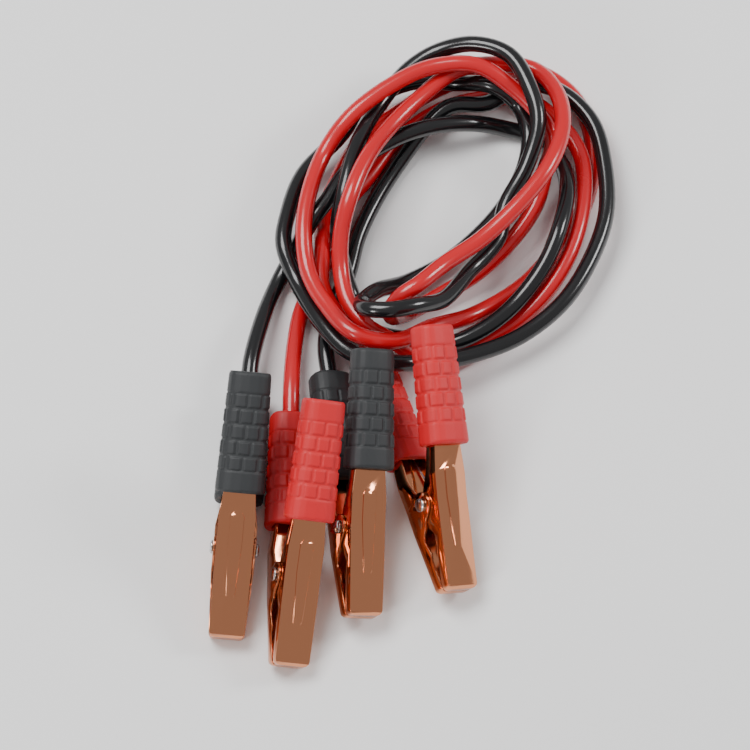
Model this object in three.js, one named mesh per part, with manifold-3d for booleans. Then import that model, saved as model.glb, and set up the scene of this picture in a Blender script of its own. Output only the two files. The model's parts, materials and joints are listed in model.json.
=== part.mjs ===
// A jump starter cable set: one black and one red lead, each with a sprung copper plated clamp at
// both ends, lying together in a loose coil on a level floor. Millimetres, +Z up.
import * as THREE from 'three';
import { mergeVertices } from 'three/addons/utils/BufferGeometryUtils.js';
import Module from 'manifold-3d';

const wasm = await Module();
wasm.setup();

// Fits
const clearance = 0.3; // between pieces that touch
const overcut = 4; // how far a cutting tool runs past what it cuts

// Stamped sheet of a clamp half. Lengths run from the rivet: the jaw one way, the handle the other
const sheetThickness = 1.2;
const jawLength = 52;
const tipDepth = 6.5;
const tipCornerRadius = 3;
const upperTipHalfWidth = 10.2;
const upperJawHalfWidth = 10.7;
const lowerTipHalfWidth = 10.4;
const pivotDepth = 14.5; // from the middle plane to the broad face, at the rivet
const shoulderAt = 14;
const shoulderDepth = 17.6;
const handleDepth = 21; // at the mouth of the grip
const handleFlange = 8.5;
const handleLength = 92;
const upperMouthHalfWidth = 9.2; // of the handle, at the mouth of the grip
const lowerMouthHalfWidth = 9.6;
const handleEndHalfWidth = 7.4;
const earRadius = 7.5;

// The gap that the closed jaws leave: one long lens and one short one, by distance from the rivet
const longLens = { from: 13.5, middle: 21, to: 29, depth: 4.4 };
const shortLens = { from: 29, middle: 33, to: 44, depth: 2.6 };
const lensNeck = 1.2; // half of the gap between the two lenses
const tipGap = 0.6; // half of the gap beside the teeth

// Pressed bead along the middle of each jaw's broad face
const beadHeight = 1.1;
const beadWidth = 8;
const beadTipWidth = 5;
const beadFrom = 20; // handle side of the rivet
const beadTo = -30; // jaw side of the rivet

// Soft sleeve on each handle
const gripStart = 30;
const gripLength = 69;
const gripWidth = 27.5;
const gripThickness = 21;
const gripFarWidth = 23;
const gripFarThickness = 19;
const gripMiddle = 18; // from the middle plane to the sleeve's axis, at its mouth
const splay = THREE.MathUtils.degToRad(10.5);
const collarLength = 12;
const collarHeight = 0.7;
const gripSides = 20;

// Rivet and spring
const rivetRadius = 2.4;
const rivetHeadRadius = 4;
const rivetHeadThickness = 1.6;
const rivetSides = 16;
const wireDiameter = 1.6;
const springTurns = 4;
const springPitch = 2.1;
const springLegReach = 36;
const springSides = 5;
const springSteps = 46;

// Cables
const cableDiameter = 10;
const cableSides = 10;
const cableSteps = 100;
const cableLead = 18; // straight out of the grip before the first chosen point

// How each clamp lies: the rivet's place in the photograph's ground frame, then its turn about the
// upright, its pitch with the grips up and its roll to the right, in degrees
const clampPoses = [
  { name: 'clamp_a', colour: 'black', at: [-80.5, -119.5, 21], yaw: -5, pitch: 15, roll: 4 },
  { name: 'clamp_b', colour: 'red', at: [-45.5, -137, 22], yaw: -4, pitch: 14, roll: 20 },
  { name: 'clamp_c', colour: 'black', at: [-9.8, -108, 24.3], yaw: 2.6, pitch: 10, roll: 24 },
  { name: 'clamp_d', colour: 'red', at: [36, -93, 23.5], yaw: 12.5, pitch: 10, roll: 33 },
];

// Each cable's chosen points in the same frame, from the left clamp of its colour to the right one:
// up to the top of the coil and round it, back in the fold at the lower left, and round again
const blackRoute = [
  [-66, 30, 14], [-58, 55, 8], [-46, 78, 13], [-38, 89, 23], [-28, 103, 25], [-14, 125, 25],
  [12, 144, 25], [35, 153, 24], [57, 158, 18], [78, 160, 8], [98, 154, 6], [111, 135, 12],
  [114, 109, 24], [109, 83, 28], [100, 61, 24], [83, 38, 19], [63, 21, 18], [44, 13, 16],
  [31, 17, 12], [14, 21, 6], [-4, 28, 6], [-14, 45, 17], [-19, 64, 17], [-22, 82, 24],
  [-18, 104, 36], [-10, 136, 36], [3, 166, 28], [21, 189, 30], [39, 199, 34], [60, 199, 42],
  [80, 190, 45], [92, 168, 45], [97, 147, 41], [90, 122, 32], [77, 97, 28], [73, 78, 26],
  [66, 67, 26], [56, 55, 28], [40, 30, 40], [23, 20, 52], [9, 16, 55], [-4, 18, 52], [-8, 26, 42],
  [1, 40, 31], [19, 54, 14], [42, 70, 8], [65, 91, 9], [81, 113, 10], [90, 132, 17], [92, 149, 21],
  [86, 169, 20], [71, 178, 28], [48, 185, 19], [24, 186, 19], [-2, 175, 16], [-23, 148, 16],
  [-43, 124, 16], [-52, 95, 20], [-54, 75, 21], [-45, 51, 17], [-32, 23, 25], [-15, 1, 30],
  [6, -8, 35], [32, -4, 26], [58, 4, 20], [85, 17, 17], [109, 37, 18], [125, 62, 18],
  [137, 96, 18], [137, 130, 18], [130, 159, 18], [112, 179, 18], [90, 186, 17], [68, 173, 16],
  [45, 170, 17], [30, 157, 14], [16, 139, 8], [1, 114, 6], [-10, 88, 6], [-16, 63, 6],
  [-25, 41, 6], [-27, 31, 7],
];
const redRoute = [
  [-47, 13, 14], [-43, 40, 6], [-31, 67, 6], [-21, 88, 6], [-16, 111, 6], [-3, 129, 6],
  [9, 147, 6], [22, 161, 6], [43, 175, 6], [68, 182, 5.5], [91, 180, 7], [109, 162, 14],
  [123, 139, 14], [124, 107, 17], [117, 76, 17], [103, 50, 14], [84, 31, 8], [62, 17, 6],
  [42, 6, 6], [25, 6, 12], [12, 11, 21], [-5, 19, 28], [-16, 35, 28], [-20, 54, 30],
  [-20, 73, 38], [-15, 92, 48], [-5, 119, 47], [9, 145, 38], [27, 167, 34], [50, 186, 34],
  [75, 193, 28], [96, 189, 28], [109, 168, 36], [111, 140, 44], [102, 113, 48], [85, 90, 46],
  [62, 68, 42], [41, 52, 43], [25, 36, 47], [15, 30, 44], [9, 26, 35], [10, 27, 23], [18, 35, 10],
  [38, 48, 8], [61, 63, 9], [83, 85, 12], [96, 105, 16], [101, 123, 22], [106, 144, 24],
  [97, 159, 30], [81, 173, 37], [60, 183, 45], [33, 182, 44], [9, 170, 43], [-15, 151, 39],
  [-30, 132, 30], [-39, 104, 32], [-42, 78, 32], [-39, 53, 29], [-29, 31, 32], [-12, 9, 38],
  [12, 7, 32], [32, 18, 27], [59, 35, 10], [89, 57, 6], [109, 82, 6], [125, 109, 6],
  [131, 140, 6], [128, 165, 6], [117, 186, 6], [97, 200, 6], [70, 200, 8], [42, 189, 8],
  [18, 174, 8], [-9, 151, 7], [-22, 127, 6], [-30, 104, 7], [-31, 74, 17], [-31, 48, 19],
  [-21, 29, 19],
];

// Colours
const copper = () => new THREE.MeshStandardMaterial({ color: 0xc9764f, roughness: 0.16, metalness: 1 });
const steel = () => new THREE.MeshStandardMaterial({ color: 0xb9bcbf, roughness: 0.25, metalness: 1 });
const sleeve = {
  black: () => new THREE.MeshStandardMaterial({ color: 0x24272a, roughness: 0.65, metalness: 0 }),
  red: () => new THREE.MeshStandardMaterial({ color: 0xd9252c, roughness: 0.6, metalness: 0 }),
};
const jacket = {
  black: () => new THREE.MeshStandardMaterial({ color: 0x0c0d0f, roughness: 0.22, metalness: 0 }),
  red: () => new THREE.MeshStandardMaterial({ color: 0xd3131b, roughness: 0.25, metalness: 0 }),
};

// Solids from closed geometries, and back
function toSolid(geometry) {
  const bare = geometry.index ? geometry.toNonIndexed() : geometry.clone();
  for (const name of Object.keys(bare.attributes)) {
    if (name !== 'position') bare.deleteAttribute(name);
  }
  const merged = mergeVertices(bare, 1e-4);
  return new wasm.Manifold(new wasm.Mesh({
    numProp: 3,
    vertProperties: new Float32Array(merged.attributes.position.array),
    triVerts: new Uint32Array(merged.index.array),
  }));
}

function toGeometry(solid) {
  const mesh = solid.getMesh();
  const geometry = new THREE.BufferGeometry();
  geometry.setAttribute('position', new THREE.BufferAttribute(mesh.vertProperties, 3));
  geometry.setIndex(new THREE.BufferAttribute(mesh.triVerts, 1));
  geometry.computeVertexNormals();
  return geometry;
}

// A prism whose outline is drawn along the clamp and its depth, pushed out sideways
function sidePrism(points, halfWidth) {
  const shape = new THREE.Shape(points.map(([y, z]) => new THREE.Vector2(y, z)));
  const geometry = new THREE.ExtrudeGeometry(shape, { depth: 2 * halfWidth, bevelEnabled: false });
  geometry.translate(0, 0, -halfWidth);
  // drawn (y, z) with the push along the third axis: turn them into (x, y, z)
  geometry.applyMatrix4(new THREE.Matrix4().set(0, 0, 1, 0, 1, 0, 0, 0, 0, 1, 0, 0, 0, 0, 0, 1));
  return toSolid(geometry);
}

// A prism whose outline is drawn from above, symmetric about the clamp's length
function planPrism(halfPoints, reach) {
  const right = halfPoints.map(([x, y]) => new THREE.Vector2(x, y));
  const left = halfPoints.map(([x, y]) => new THREE.Vector2(-x, y)).reverse();
  const geometry = new THREE.ExtrudeGeometry(new THREE.Shape([...right, ...left]), {
    depth: 2 * reach,
    bevelEnabled: false,
  });
  geometry.translate(0, 0, -reach);
  return toSolid(geometry);
}

// Broad face of a half, from tip to handle end, as [distance along, depth]
function faceLine(inset) {
  const handleEndDepth = handleDepth + (handleLength - gripStart) * Math.tan(splay);
  return [
    [-jawLength + inset, tipDepth - 1.6 - inset],
    [-jawLength + 1.6, tipDepth - inset],
    [0, pivotDepth - inset],
    [shoulderAt, shoulderDepth - inset],
    [gripStart, handleDepth - inset],
    [handleLength, handleEndDepth - inset],
  ];
}

// Edge of a half's side walls, from handle end to tip: handle, ear round the rivet, two lenses
function edgeLine() {
  const handleEndDepth = handleDepth + (handleLength - gripStart) * Math.tan(splay);
  const ear = [];
  for (let degrees = 20; degrees >= -200; degrees -= 20) {
    const a = THREE.MathUtils.degToRad(degrees);
    if (degrees < -150) continue;
    ear.push([earRadius * Math.cos(a), earRadius * Math.sin(a)]);
  }
  return [
    [handleLength, handleEndDepth - handleFlange],
    [gripStart, handleDepth - handleFlange],
    [shoulderAt + 4, shoulderDepth - handleFlange],
    ...ear,
    [-longLens.from + 3, clearance / 2],
    [-longLens.from, clearance / 2],
    [-longLens.middle + 3, longLens.depth - 0.5],
    [-longLens.middle, longLens.depth],
    [-longLens.middle - 3, longLens.depth - 1],
    [-longLens.to, lensNeck],
    [-shortLens.middle, shortLens.depth],
    [-shortLens.to, tipGap],
    [-jawLength + 4, clearance / 2],
    [-jawLength, clearance / 2],
  ];
}

function flip(points, side) {
  return points.map(([y, z]) => [y, z * side]);
}

// Half widths of a clamp half seen from above, tip first
function planLine(isUpper, inset) {
  const tip = isUpper ? upperTipHalfWidth : lowerTipHalfWidth;
  const jaw = isUpper ? upperJawHalfWidth : lowerPivotHalfWidth;
  const mouth = isUpper ? upperMouthHalfWidth : lowerMouthHalfWidth;
  const end = -jawLength + inset;
  const cut = Math.max(tipCornerRadius - inset, 0.4);
  const line = [];
  for (let step = 0; step <= 3; step += 1) {
    const a = (step / 3) * (Math.PI / 2);
    line.push([tip - inset - cut + cut * Math.sin(a), end + cut - cut * Math.cos(a)]);
  }
  line.push([jaw - inset, -longLens.from]);
  line.push([jaw - inset, shoulderAt]);
  line.push([mouth - inset, gripStart]);
  line.push([handleEndHalfWidth - inset, handleLength]);
  if (inset > 0) line.push([handleEndHalfWidth - inset, handleLength + overcut]);
  return line;
}

const lowerPivotHalfWidth = upperJawHalfWidth + clearance + sheetThickness;

// One stamped half: a channel with its tip closed, holes for the rivet and a raised bead
function jawHalf(isUpper) {
  const side = isUpper ? 1 : -1;
  const reach = 60;
  const outline = [...faceLine(0), ...edgeLine()];
  const outer = sidePrism(flip(outline, side), 30).intersect(planPrism(planLine(isUpper, 0), reach));
  const face = faceLine(sheetThickness);
  const last = face[face.length - 1];
  const hollow = [
    ...face,
    [last[0] + overcut, last[1] + overcut * Math.tan(splay)],
    [last[0] + overcut, -earRadius - overcut],
    [face[0][0], -earRadius - overcut],
  ];
  const inner = sidePrism(flip(hollow, side), 30)
    .intersect(planPrism(planLine(isUpper, sheetThickness), reach));
  const hole = new THREE.CylinderGeometry(rivetRadius + clearance, rivetRadius + clearance, 40, rivetSides);
  hole.rotateZ(Math.PI / 2);
  return outer.subtract(inner).subtract(toSolid(hole)).add(bead(side));
}

// The bead lies on the broad face and follows its bend at the rivet
function bead(side) {
  const slope = (pivotDepth - tipDepth) / (jawLength - 1.6);
  const sunk = 0.6;
  const top = beadHeight;
  const at = (y) => (y < 0 ? pivotDepth + y * slope
    : pivotDepth + y * (shoulderDepth - pivotDepth) / shoulderAt);
  const beyond = (y) => (y > shoulderAt
    ? shoulderDepth + (y - shoulderAt) * (handleDepth - shoulderDepth) / (gripStart - shoulderAt) : at(y));
  const outline = [
    [beadTo, at(beadTo) - sunk],
    [beadTo + 3, at(beadTo + 3) + top],
    [0, at(0) + top],
    [shoulderAt, at(shoulderAt) + top],
    [beadFrom - 3, beyond(beadFrom - 3) + top],
    [beadFrom, beyond(beadFrom) - sunk],
    [shoulderAt, at(shoulderAt) - sunk],
    [0, at(0) - sunk],
  ];
  const plan = [
    [beadTipWidth / 2 - 1.5, beadTo],
    [beadTipWidth / 2, beadTo + 2],
    [beadWidth / 2, 0],
    [beadWidth / 2, beadFrom - 4],
    [beadWidth / 2 - 2.5, beadFrom],
  ];
  return sidePrism(flip(outline, side), 10).intersect(planPrism(plan, 60));
}

// Rounded section of the sleeve
function gripSection(width, thickness) {
  const points = [];
  for (let i = 0; i < gripSides; i += 1) {
    const a = (i / gripSides) * 2 * Math.PI;
    const c = Math.cos(a);
    const s = Math.sin(a);
    const x = 0.5 * width * Math.sign(c) * Math.abs(c) ** 0.72;
    const z = 0.5 * thickness * Math.sign(s) * Math.abs(s) ** 0.72;
    points.push(new THREE.Vector2(x, z));
  }
  return new THREE.Shape(points);
}

// A stretch of sleeve between two distances from its mouth, along the sleeve's own axis
function gripStretch(from, to, grow) {
  const length = to - from;
  const geometry = new THREE.ExtrudeGeometry(gripSection(gripWidth + 2 * grow, gripThickness + 2 * grow), {
    depth: length,
    steps: 1,
    bevelEnabled: false,
  });
  const position = geometry.attributes.position;
  for (let i = 0; i < position.count; i += 1) {
    const share = (from + position.getZ(i)) / gripLength;
    position.setX(i, position.getX(i) * THREE.MathUtils.lerp(1, gripFarWidth / gripWidth, share));
    position.setY(i, position.getY(i) * THREE.MathUtils.lerp(1, gripFarThickness / gripThickness, share));
  }
  // the push becomes the clamp's length, and the section stands across it
  geometry.rotateX(-Math.PI / 2);
  geometry.translate(0, from, 0);
  return toSolid(geometry);
}

function grip(isUpper) {
  const side = isUpper ? 1 : -1;
  let body = gripStretch(0, gripLength, 0);
  body = body.add(gripStretch(1.2, collarLength, collarHeight));
  body = body.add(gripStretch(gripLength - collarLength, gripLength - 1.2, collarHeight));
  const turned = new THREE.Matrix4().makeTranslation(0, gripStart, side * gripMiddle)
    .multiply(new THREE.Matrix4().makeRotationX(side * splay));
  body = body.transform(turned.toArray());
  const mouth = isUpper ? upperMouthHalfWidth : lowerMouthHalfWidth;
  const lift = (y) => handleDepth + (y - gripStart) * Math.tan(splay);
  const from = gripStart - overcut;
  const to = handleLength + clearance;
  const room = clearance / Math.cos(splay);
  const pocket = [
    [from, lift(from) + room],
    [to, lift(to) + room],
    [to, lift(to) - handleFlange - room],
    [from, lift(from) - handleFlange - room],
  ];
  const narrowing = (mouth - handleEndHalfWidth) / (handleLength - gripStart);
  const plan = [
    [mouth + narrowing * overcut + clearance, from],
    [handleEndHalfWidth + clearance, to],
  ];
  const room3d = sidePrism(flip(pocket, side), 30).intersect(planPrism(plan, 60));
  return body.subtract(room3d);
}

function rivet() {
  const headFrom = lowerPivotHalfWidth + clearance;
  const headTo = headFrom + rivetHeadThickness;
  const profile = [
    [0, -headTo],
    [rivetHeadRadius * 0.7, -headTo],
    [rivetHeadRadius, -headTo + 0.7],
    [rivetHeadRadius, -headFrom],
    [rivetRadius, -headFrom],
    [rivetRadius, headFrom],
    [rivetHeadRadius, headFrom],
    [rivetHeadRadius, headTo - 0.7],
    [rivetHeadRadius * 0.7, headTo],
    [0, headTo],
  ].map(([x, y]) => new THREE.Vector2(x, y));
  const geometry = new THREE.LatheGeometry(profile, rivetSides);
  geometry.rotateZ(-Math.PI / 2);
  return toSolid(geometry);
}

// One wire: a leg under the upper handle, turns round the rivet and a leg over the lower handle
function spring() {
  const radius = rivetRadius + 0.4 + wireDiameter / 2;
  const halfSpan = (springTurns * springPitch) / 2;
  const legDepth = handleDepth + (springLegReach - gripStart) * Math.tan(splay)
    - sheetThickness - clearance - wireDiameter / 2;
  const points = [
    new THREE.Vector3(-halfSpan, springLegReach, legDepth),
    new THREE.Vector3(-halfSpan, springLegReach * 0.55, legDepth * 0.62),
  ];
  const perTurn = 8;
  const start = THREE.MathUtils.degToRad(120);
  const sweep = 2 * Math.PI * springTurns + THREE.MathUtils.degToRad(120);
  const count = Math.round((perTurn * sweep) / (2 * Math.PI));
  for (let i = 0; i <= count; i += 1) {
    const a = start + (sweep * i) / count;
    const x = -halfSpan + (2 * halfSpan * i) / count;
    points.push(new THREE.Vector3(x, radius * Math.cos(a), radius * Math.sin(a)));
  }
  points.push(new THREE.Vector3(halfSpan, springLegReach * 0.55, -legDepth * 0.62));
  points.push(new THREE.Vector3(halfSpan, springLegReach, -legDepth));
  return tube(points, wireDiameter, springSides, springSteps);
}

// A round tube along a smooth line through the points
function tube(points, diameter, sides, steps) {
  const section = [];
  for (let i = 0; i < sides; i += 1) {
    const a = (i / sides) * 2 * Math.PI;
    section.push(new THREE.Vector2(0.5 * diameter * Math.cos(a), 0.5 * diameter * Math.sin(a)));
  }
  const path = new THREE.CatmullRomCurve3(points, false, 'centripetal');
  path.arcLengthDivisions = 1200;
  const geometry = new THREE.ExtrudeGeometry(new THREE.Shape(section), {
    steps,
    extrudePath: path,
    bevelEnabled: false,
  });
  return toSolid(geometry);
}

function place(solid, name, material) {
  const mesh = new THREE.Mesh(toGeometry(solid), material);
  mesh.name = name;
  return mesh;
}

const group = new THREE.Group();
const clamps = new THREE.Group();
const clampGroups = {};
group.add(clamps);

for (const pose of clampPoses) {
  const clamp = new THREE.Group();
  clamp.position.set(...pose.at);
  clamp.rotation.set(
    THREE.MathUtils.degToRad(pose.pitch),
    THREE.MathUtils.degToRad(pose.roll),
    THREE.MathUtils.degToRad(pose.yaw),
    'ZXY',
  );
  clamp.add(place(jawHalf(false), `${pose.name}_lower_jaw`, copper()));
  clamp.add(place(jawHalf(true), `${pose.name}_upper_jaw`, copper()));
  clamp.add(place(grip(false), `${pose.name}_lower_grip`, sleeve[pose.colour]()));
  clamp.add(place(grip(true), `${pose.name}_upper_grip`, sleeve[pose.colour]()));
  clamp.add(place(rivet(), `${pose.name}_pivot_rivet`, steel()));
  clamp.add(place(spring(), `${pose.name}_torsion_spring`, steel()));
  clamps.add(clamp);
  clampGroups[pose.name] = clamp;
}

// Where a cable leaves a clamp: the middle of the lower grip's end, and a point straight out of it
function cableStart(name, out) {
  const axis = new THREE.Vector3(0, Math.cos(splay), -Math.sin(splay));
  const point = axis.multiplyScalar(gripLength + clearance + out)
    .add(new THREE.Vector3(0, gripStart, -gripMiddle));
  const clamp = clampGroups[name];
  clamp.updateMatrix();
  return point.applyMatrix4(clamp.matrix);
}

function cable(from, to, route) {
  const points = [
    cableStart(from, 0),
    cableStart(from, cableLead),
    ...route.map((p) => new THREE.Vector3(...p)),
    cableStart(to, cableLead),
    cableStart(to, 0),
  ];
  return tube(points, cableDiameter, cableSides, cableSteps);
}

group.add(place(cable('clamp_a', 'clamp_c', blackRoute), 'cable_black', jacket.black()));
group.add(place(cable('clamp_b', 'clamp_d', redRoute), 'cable_red', jacket.red()));

// The origin is under the middle of the four clamps, on the floor that they lie on
const reach = new THREE.Box3().setFromObject(clamps, true);
const middle = reach.getCenter(new THREE.Vector3());
group.position.set(-middle.x, -middle.y, -reach.min.z);

export default group;
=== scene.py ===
"""A red and a black jump lead in a loose coil, with a sprung copper plated clamp at each end."""
import json
import math

import bpy
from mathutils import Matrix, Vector


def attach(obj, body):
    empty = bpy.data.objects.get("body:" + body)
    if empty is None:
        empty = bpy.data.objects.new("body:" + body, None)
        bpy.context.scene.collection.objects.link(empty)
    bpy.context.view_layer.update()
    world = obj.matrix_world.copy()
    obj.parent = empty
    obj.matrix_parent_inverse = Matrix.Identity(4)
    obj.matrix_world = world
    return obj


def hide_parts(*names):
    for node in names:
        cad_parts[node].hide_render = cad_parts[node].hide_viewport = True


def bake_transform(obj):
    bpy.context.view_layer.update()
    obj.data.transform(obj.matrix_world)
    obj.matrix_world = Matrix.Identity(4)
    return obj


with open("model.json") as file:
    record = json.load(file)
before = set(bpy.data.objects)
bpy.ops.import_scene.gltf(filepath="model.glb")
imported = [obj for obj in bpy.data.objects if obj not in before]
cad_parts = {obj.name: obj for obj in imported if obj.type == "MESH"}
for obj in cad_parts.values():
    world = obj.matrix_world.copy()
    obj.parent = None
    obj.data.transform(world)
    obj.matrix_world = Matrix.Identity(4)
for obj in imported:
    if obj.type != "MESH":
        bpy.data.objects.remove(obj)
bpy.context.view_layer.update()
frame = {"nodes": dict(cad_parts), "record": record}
root = "cables_and_lower_halves"

# Camera
# The photograph looks down on the heap from its clamp end, at 65 degrees below the level. Its middle
# is the middle of the frame that the routes below are written in, which lies off the row's origin.
mm = 0.001
route_origin = Vector((18.459, 91.591, -0.372)) * mm
camera_distance = 2.6
look_down = math.radians(65)
lens_length = 212.25
sensor_width = 36
away = Vector((0, -math.cos(look_down), math.sin(look_down)))
bpy.ops.object.camera_add(
    location=route_origin + away * camera_distance,
    rotation=(math.pi / 2 - look_down, 0, 0),
)
camera = bpy.context.object
camera.data.lens = lens_length
camera.data.sensor_width = sensor_width
bpy.context.scene.camera = camera


# Cables
# Each lead is stranded copper under a glossy PVC jacket, 10 mm over all. Both ends go into the far
# end of a lower sleeve. The points are chosen and are the same as in the part's source.
cable_diameter = 10 * mm
steps_between_points = 6
ends = {  # where each lead leaves its sleeve, and a point 18 mm straight out of it
    "a": [(-73.7, -17.0, 16.9), (-72.3, 0.9, 18.3)],
    "b": [(-48.8, -34.3, 17.8), (-48.7, -16.4, 19.1)],
    "c": [(-26.8, -7.2, 13.8), (-29.0, 10.7, 13.9)],
    "d": [(-2.2, 2.1, 15.2), (-7.8, 19.2, 15.6)],
}
black_route = [
    (-66, 30, 14), (-58, 55, 8), (-46, 78, 13), (-38, 89, 23), (-28, 103, 25), (-14, 125, 25),
    (12, 144, 25), (35, 153, 24), (57, 158, 18), (78, 160, 8), (98, 154, 6), (111, 135, 12),
    (114, 109, 24), (109, 83, 28), (100, 61, 24), (83, 38, 19), (63, 21, 18), (44, 13, 16),
    (31, 17, 12), (14, 21, 6), (-4, 28, 6), (-14, 45, 17), (-19, 64, 17), (-22, 82, 24),
    (-18, 104, 36), (-10, 136, 36), (3, 166, 28), (21, 189, 30), (39, 199, 34), (60, 199, 42),
    (80, 190, 45), (92, 168, 45), (97, 147, 41), (90, 122, 32), (77, 97, 28), (73, 78, 26),
    (66, 67, 26), (56, 55, 28), (40, 30, 40), (23, 20, 52), (9, 16, 55), (-4, 18, 52), (-8, 26, 42),
    (1, 40, 31), (19, 54, 14), (42, 70, 8), (65, 91, 9), (81, 113, 10), (90, 132, 17), (92, 149, 21),
    (86, 169, 20), (71, 178, 28), (48, 185, 19), (24, 186, 19), (-2, 175, 16), (-23, 148, 16),
    (-43, 124, 16), (-52, 95, 20), (-54, 75, 21), (-45, 51, 17), (-32, 23, 25), (-15, 1, 30),
    (6, -8, 35), (32, -4, 26), (58, 4, 20), (85, 17, 17), (109, 37, 18), (125, 62, 18),
    (137, 96, 18), (137, 130, 18), (130, 159, 18), (112, 179, 18), (90, 186, 17), (68, 173, 16),
    (45, 170, 17), (30, 157, 14), (16, 139, 8), (1, 114, 6), (-10, 88, 6), (-16, 63, 6),
    (-25, 41, 6), (-27, 31, 7),
]
red_route = [
    (-47, 13, 14), (-43, 40, 6), (-31, 67, 6), (-21, 88, 6), (-16, 111, 6), (-3, 129, 6),
    (9, 147, 6), (22, 161, 6), (43, 175, 6), (68, 182, 5.5), (91, 180, 7), (109, 162, 14),
    (123, 139, 14), (124, 107, 17), (117, 76, 17), (103, 50, 14), (84, 31, 8), (62, 17, 6),
    (42, 6, 6), (25, 6, 12), (12, 11, 21), (-5, 19, 28), (-16, 35, 28), (-20, 54, 30),
    (-20, 73, 38), (-15, 92, 48), (-5, 119, 47), (9, 145, 38), (27, 167, 34), (50, 186, 34),
    (75, 193, 28), (96, 189, 28), (109, 168, 36), (111, 140, 44), (102, 113, 48), (85, 90, 46),
    (62, 68, 42), (41, 52, 43), (25, 36, 47), (15, 30, 44), (9, 26, 35), (10, 27, 23), (18, 35, 10),
    (38, 48, 8), (61, 63, 9), (83, 85, 12), (96, 105, 16), (101, 123, 22), (106, 144, 24),
    (97, 159, 30), (81, 173, 37), (60, 183, 45), (33, 182, 44), (9, 170, 43), (-15, 151, 39),
    (-30, 132, 30), (-39, 104, 32), (-42, 78, 32), (-39, 53, 29), (-29, 31, 32), (-12, 9, 38),
    (12, 7, 32), (32, 18, 27), (59, 35, 10), (89, 57, 6), (109, 82, 6), (125, 109, 6),
    (131, 140, 6), (128, 165, 6), (117, 186, 6), (97, 200, 6), (70, 200, 8), (42, 189, 8),
    (18, 174, 8), (-9, 151, 7), (-22, 127, 6), (-30, 104, 7), (-31, 74, 17), (-31, 48, 19),
    (-21, 29, 19),
]
black_jacket = (0.006, 0.006, 0.007, 1)
red_jacket = (0.56, 0.006, 0.012, 1)


class Sockets:
    """A material's nodes, made one at a time."""

    def __init__(self, name):
        self.material = bpy.data.materials.new(name)
        self.material.use_nodes = True
        self.tree = self.material.node_tree
        self.shader = self.tree.nodes["Principled BSDF"]

    def node(self, kind, **inputs):
        made = self.tree.nodes.new(kind)
        for key, value in inputs.items():
            socket = made.inputs[key.replace("_", " ")]
            if isinstance(value, bpy.types.NodeSocket):
                self.tree.links.new(value, socket)
            else:
                socket.default_value = value
        return made

    def feed(self, output, name):
        self.tree.links.new(output, self.shader.inputs[name])


def finish_material(name, colour, roughness, grain, depth, metallic=0.0, coat=0.0):
    """A surface of one colour with a fine grain in its relief and its gloss."""
    made = Sockets(name)
    made.shader.inputs["Base Color"].default_value = colour
    made.shader.inputs["Metallic"].default_value = metallic
    made.shader.inputs["Coat Weight"].default_value = coat
    place = made.node("ShaderNodeTexCoord").outputs["Object"]
    fine = made.node("ShaderNodeTexNoise", Vector=place, Scale=grain, Detail=4.0)
    broad = made.node("ShaderNodeTexNoise", Vector=place, Scale=grain * 0.04, Detail=2.0)
    gloss = made.node("ShaderNodeMapRange", Value=broad.outputs["Fac"])
    gloss.inputs["To Min"].default_value = roughness * 0.8
    gloss.inputs["To Max"].default_value = roughness * 1.25
    relief = made.node("ShaderNodeBump", Height=fine.outputs["Fac"], Distance=depth, Strength=0.6)
    made.feed(gloss.outputs["Result"], "Roughness")
    made.feed(relief.outputs["Normal"], "Normal")
    return made.material


def smooth_line(points, per_stretch):
    """The centripetal curve that the part's source draws through the same points."""
    before = points[0] * 2 - points[1]
    after = points[-1] * 2 - points[-2]
    held = [before, *points, after]
    line = []
    for a, b, c, d in zip(held, held[1:], held[2:], held[3:]):
        t1 = (b - a).length ** 0.5
        t2 = t1 + (c - b).length ** 0.5
        t3 = t2 + (d - c).length ** 0.5
        for step in range(per_stretch):
            t = t1 + (t2 - t1) * step / per_stretch
            ab = a * ((t1 - t) / t1) + b * (t / t1)
            bc = b * ((t2 - t) / (t2 - t1)) + c * ((t - t1) / (t2 - t1))
            cd = c * ((t3 - t) / (t3 - t2)) + d * ((t - t2) / (t3 - t2))
            abc = ab * ((t2 - t) / t2) + bc * (t / t2)
            bcd = bc * ((t3 - t) / (t3 - t1)) + cd * ((t - t1) / (t3 - t1))
            line.append(abc * ((t2 - t) / (t2 - t1)) + bcd * ((t - t1) / (t2 - t1)))
    return [*line, points[-1]]


def lay_cable(name, first, last, route, material):
    """One lead along its chosen points, as a round jacket on a single open line."""
    chosen = [*ends[first], *route, *reversed(ends[last])]
    points = [Vector(p) * mm + route_origin for p in chosen]
    line = smooth_line(points, steps_between_points)
    bpy.ops.object.select_all(action="DESELECT")
    bpy.ops.curve.primitive_nurbs_path_add()
    lead = bpy.context.object
    lead.name = name
    lead.data.splines.clear()
    spline = lead.data.splines.new("POLY")
    spline.points.add(len(line) - 1)
    for point, place in zip(spline.points, line):
        point.co = (*place, 1)
    lead.data.dimensions = "3D"
    lead.data.bevel_depth = cable_diameter / 2
    lead.data.bevel_resolution = 4
    lead.data.use_fill_caps = True
    spline.use_smooth = True
    lead.data.materials.append(material)
    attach(lead, root)
    return lead


black_pvc = finish_material("black_pvc_jacket", black_jacket, 0.2, 900, 0.00004, coat=0.3)
black_lead = lay_cable("black_lead", "a", "c", black_route, black_pvc)
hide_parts("cable_black")
red_pvc = finish_material("red_pvc_jacket", red_jacket, 0.24, 900, 0.00004, coat=0.3)
red_lead = lay_cable("red_lead", "b", "d", red_route, red_pvc)
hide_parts("cable_red")


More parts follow.
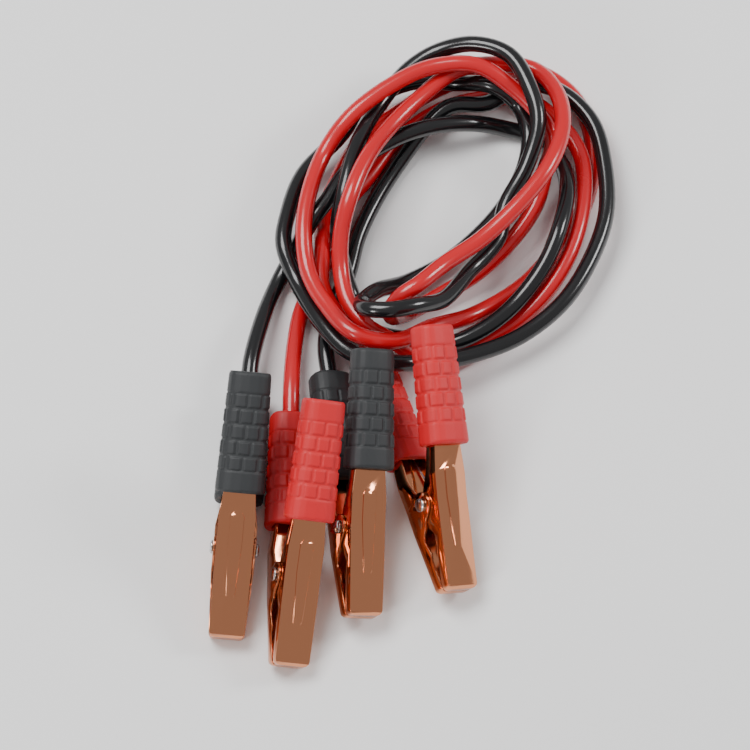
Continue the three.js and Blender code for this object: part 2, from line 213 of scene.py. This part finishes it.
# Stamped jaws
# Each clamp is two halves stamped from copper plated steel sheet, each with a pressed bead along its
# broad face. The polished plating mirrors its surroundings, and the sheet's edges are slightly rounded.
copper = finish_material("copper_plating", (0.72, 0.29, 0.15, 1), 0.1, 500, 0.00002, metallic=1.0)
edge_round = 0.28 * mm
weld_within = 0.01 * mm
sharp_edge = math.radians(35)


def finished_copy(node, name, material):
    """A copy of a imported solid, welded into one skin, for the finishing steps after it."""
    bpy.ops.object.select_all(action="DESELECT")
    source = frame["nodes"][node]
    bpy.context.view_layer.objects.active = source
    source.select_set(True)
    bpy.ops.object.duplicate()
    piece = bpy.context.object
    piece.name = name
    piece.parent = None
    bpy.ops.object.mode_set(mode="EDIT")
    bpy.ops.mesh.select_all(action="SELECT")
    bpy.ops.mesh.remove_doubles(threshold=weld_within)
    bpy.ops.mesh.tris_convert_to_quads()
    bpy.ops.object.mode_set(mode="OBJECT")
    piece.data.materials.clear()
    piece.data.materials.append(material)
    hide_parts(node)
    return piece


def rounded(piece, width):
    """Rounds the piece's sharp edges."""
    bevel = piece.modifiers.new("edges", "BEVEL")
    bevel.width = width
    bevel.segments = 2
    bevel.limit_method = "ANGLE"
    bevel.angle_limit = sharp_edge
    bpy.ops.object.modifier_apply(modifier="edges")
    bpy.ops.object.shade_smooth_by_angle(angle=sharp_edge)


for clamp in "abcd":
    for half, body in (("lower", root), ("upper", f"clamp_{clamp}_upper_half")):
        jaw = finished_copy(f"clamp_{clamp}_{half}_jaw", f"jaw_{clamp}_{half}", copper)
        rounded(jaw, edge_round)
        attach(jaw, body)


# Soft sleeves
# A soft PVC sleeve covers each handle, matt and fine grained, with a raised collar at each end and
# rows of raised pads between them. Its rims are soft, so the copy is skinned again and relaxed.
sleeve_colours = {"a": "black", "b": "red", "c": "black", "d": "red"}
sleeve_finish = {
    "black": finish_material("black_soft_pvc", (0.020, 0.022, 0.024, 1), 0.55, 1500, 0.00012),
    "red": finish_material("red_soft_pvc", (0.60, 0.008, 0.014, 1), 0.5, 1500, 0.00012),
}
skin_square = 0.6 * mm
sleeve_start = 30 * mm  # from the rivet to the sleeve's mouth
sleeve_middle = 18 * mm  # from the clamp's middle plane to the sleeve's axis, at its mouth
sleeve_length = 69 * mm
sleeve_splay = math.radians(10.5)
collar_length = 12 * mm
pad_height = 0.8 * mm
pad_rows = 5
pads_round = 8
pad_gap = 0.16  # share of a pad's pitch that its groove takes
pad_step = 0.06  # share of the pitch in which a pad's side rises
jaw_slope = math.atan(8 / 50.4)  # of the flat face that the record's mount lies on


def clamp_axes(clamp):
    """The rivet's place and the clamp's own directions, from its hinge and the face of its jaw."""
    hinges = {joint["name"]: joint for joint in frame["record"]["behaviour"]["joints"]}
    faces = {mount["name"]: mount for mount in frame["record"]["mounts"]}
    hinge = hinges[f"clamp_{clamp}_squeeze"]
    face = faces[f"clamp_{clamp}_jaw_face"]
    across = -Vector(hinge["axis"])
    normal = Vector(face["axis"])
    side = across.cross(normal)
    along = -(normal * math.sin(jaw_slope) + side * math.cos(jaw_slope))
    return Vector(hinge["pos_m"]), across, along, across.cross(along)


def edge_share(value, count):
    """1 on a pad and 0 in the groove round it, with a soft step between."""
    place = (value * count) % 1
    inside = min(place, 1 - place)
    return min(max((inside - pad_gap / 2) / pad_step, 0), 1)


def raise_pads(sleeve, clamp, half):
    """Lifts the rows of pads between the collars; every second row is turned by half a pad."""
    pivot, across, along, up = clamp_axes(clamp)
    side = 1 if half == "upper" else -1
    middle = pivot + along * sleeve_start + up * sleeve_middle * side
    axis = along * math.cos(sleeve_splay) + up * side * math.sin(sleeve_splay)
    out = across.cross(axis)
    relaxed = [(point.co.copy(), point.normal.copy()) for point in sleeve.data.vertices]
    places = []
    for place, normal in relaxed:
        places.extend(place)
        offset = place - middle
        distance = offset.dot(axis)
        share = (distance - collar_length) / (sleeve_length - 2 * collar_length)
        radial = offset - axis * distance
        if not 0 < share < 1 or normal.dot(radial) < 0.5 * radial.length:
            continue
        turn = math.atan2(radial.dot(out), radial.dot(across)) / math.tau
        turn += 0.5 / pads_round * (int(share * pad_rows) % 2)
        lift = edge_share(share, pad_rows) * edge_share(turn, pads_round)
        places[-3:] = place + normal * (pad_height * lift)
    sleeve.data.vertices.foreach_set("co", places)
    sleeve.data.update()


for clamp, colour in sleeve_colours.items():
    for half, body in (("lower", root), ("upper", f"clamp_{clamp}_upper_half")):
        node = f"clamp_{clamp}_{half}_grip"
        sleeve = finished_copy(node, f"sleeve_{clamp}_{half}", sleeve_finish[colour])
        remesh = sleeve.modifiers.new("skin", "REMESH")
        remesh.mode = "VOXEL"
        remesh.voxel_size = skin_square
        bpy.ops.object.modifier_apply(modifier="skin")
        relax = sleeve.modifiers.new("relax", "SMOOTH")
        relax.iterations = 4
        bpy.ops.object.modifier_apply(modifier="relax")
        raise_pads(sleeve, clamp, half)
        bpy.ops.object.shade_smooth()
        sleeve.data.materials.clear()
        sleeve.data.materials.append(sleeve_finish[colour])
        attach(sleeve, body)


# Rivets and springs
# A bright steel rivet holds the two halves of each clamp, and a wire spring is wound round it. Its
# two legs press the handles apart.
rivet_edge_round = 0.2 * mm
bright_steel = finish_material("bright_steel", (0.62, 0.63, 0.64, 1), 0.2, 700, 0.00002, metallic=1.0)
for clamp in "abcd":
    rivet = finished_copy(f"clamp_{clamp}_pivot_rivet", f"rivet_{clamp}", bright_steel)
    rounded(rivet, rivet_edge_round)
    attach(rivet, root)
    spring = finished_copy(f"clamp_{clamp}_torsion_spring", f"spring_{clamp}", bright_steel)
    bpy.ops.object.shade_smooth()
    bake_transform(spring)


# Floor and light
# A plain pale floor under one large soft lamp, with two smaller lamps to the sides that give the
# copper and the jackets their highlights.
bpy.ops.mesh.primitive_plane_add(size=8, location=(0, 0, 0))
floor = bpy.context.object
floor.name = "floor"
floor.data.materials.append(finish_material("pale_floor", (0.95, 0.95, 0.95, 1), 0.8, 20, 0.0))
lamps = [  # place, size, power, each aimed at the heap
    ((-0.6, 0.5, 1.6), 0.9, 27),
    ((1.2, 0.4, 0.9), 0.4, 9),
    ((-0.9, -0.9, 0.8), 0.3, 6),
]
for place, size, power in lamps:
    bpy.ops.object.light_add(type="AREA", location=place)
    lamp = bpy.context.object
    lamp.data.size = size
    lamp.data.energy = power
    aim = route_origin - Vector(place)
    lamp.rotation_euler = aim.to_track_quat("-Z", "Y").to_euler()
world = bpy.data.worlds.new("studio")
bpy.context.scene.world = world
world.use_nodes = True
world.node_tree.nodes["Background"].inputs["Color"].default_value = (1, 1, 1, 1)
world.node_tree.nodes["Background"].inputs["Strength"].default_value = 0.45
